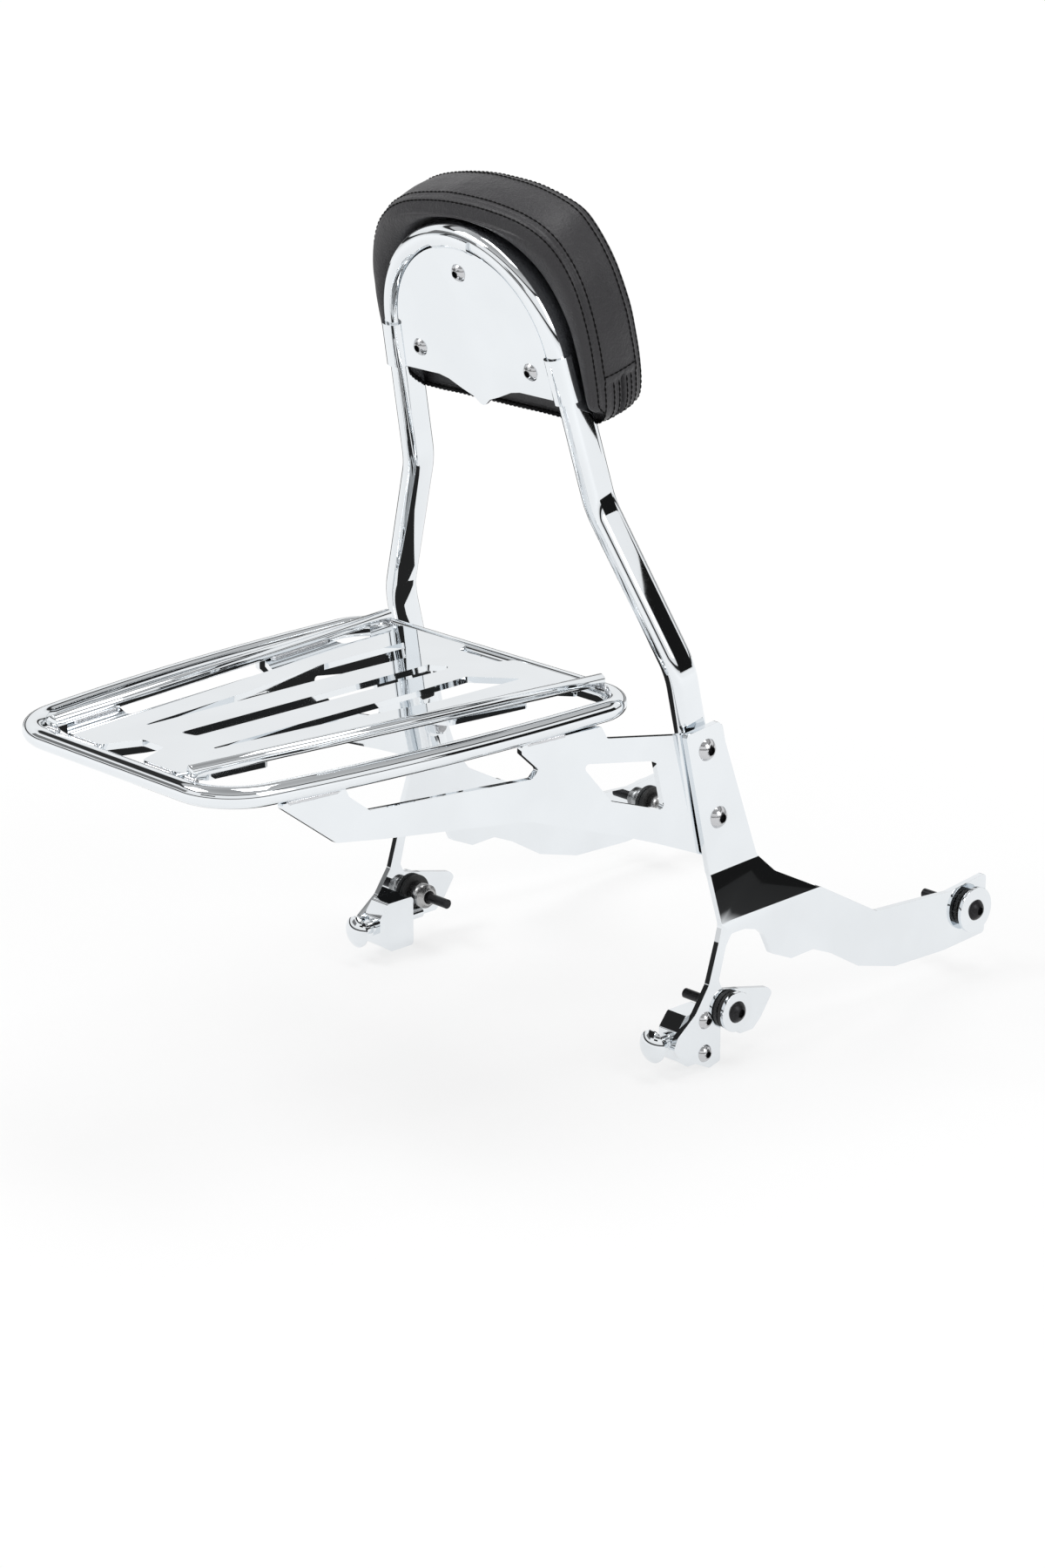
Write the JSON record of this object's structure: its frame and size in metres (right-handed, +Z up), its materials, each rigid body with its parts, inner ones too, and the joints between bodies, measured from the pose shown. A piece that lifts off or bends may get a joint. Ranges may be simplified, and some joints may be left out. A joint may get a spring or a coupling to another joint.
{
  "type": "motorcycle luggage rack with backrest",
  "caption": "Chrome tube luggage rack bolted to a detachable backrest hoop with a stitched pad, side plates and spring latches that dock on the fender struts.",
  "frame": {"origin": "middle of the plane that luggage rests on, the tops of the two rack rods", "axes": "+Z up, +Y to the front of the motorcycle, +X to the rider's right"},
  "size_m": [0.3926, 0.7481, 0.666],
  "materials": {
    "chrome": "polished mirror chrome plate",
    "weld": "chrome plated weld bead, slightly duller",
    "board": "black moulded board with a fine grain",
    "leather": "black grained leather with stitched seams",
    "rubber": "black rubber, satin",
    "black_bolt": "black oxide steel",
    "spring": "spring steel wire",
    "sleeve": "turned steel"
  },
  "bodies": {
    "kit": {"rack_loop": "chrome", "rack_rod_left": "chrome", "rack_rod_right": "chrome", "rack_deck": "chrome", "rack_bracket_left": "chrome", "rack_bracket_right": "chrome", "rack_welds": "weld", "backrest_bar": "chrome", "insert_plate": "chrome", "insert_bolts": "black_bolt", "pad_spacers": "black_bolt", "pad_board": "board", "pad_cover": "leather", "side_plate_left": "chrome", "side_plate_right": "chrome", "upright_bolts": "chrome", "upright_nuts": "chrome", "latch_block_left": "chrome", "latch_block_right": "chrome", "latch_spring_left": "spring", "latch_spring_right": "spring", "latch_screws": "chrome", "dock_sleeves": "sleeve", "dock_rubbers": "rubber", "dock_washers": "chrome", "dock_bolts": "black_bolt"},
    "plunger_right": {"latch_plunger_right": "chrome"},
    "plunger_left": {"latch_plunger_left": "chrome"}
  },
  "joints": [
    {"name": "latch_right", "type": "slide", "parent": "kit", "child": "plunger_right", "axis": [0, -1, 0], "range_m": [0, 0.0115], "stiffness_N_per_m": 900, "springref_m": -0.004, "deforming": ["latch_spring_right"]},
    {"name": "latch_left", "type": "slide", "parent": "kit", "child": "plunger_left", "axis": [0, -1, 0], "range_m": [0, 0.0115], "stiffness_N_per_m": 900, "springref_m": -0.004, "deforming": ["latch_spring_left"]}
  ]
}
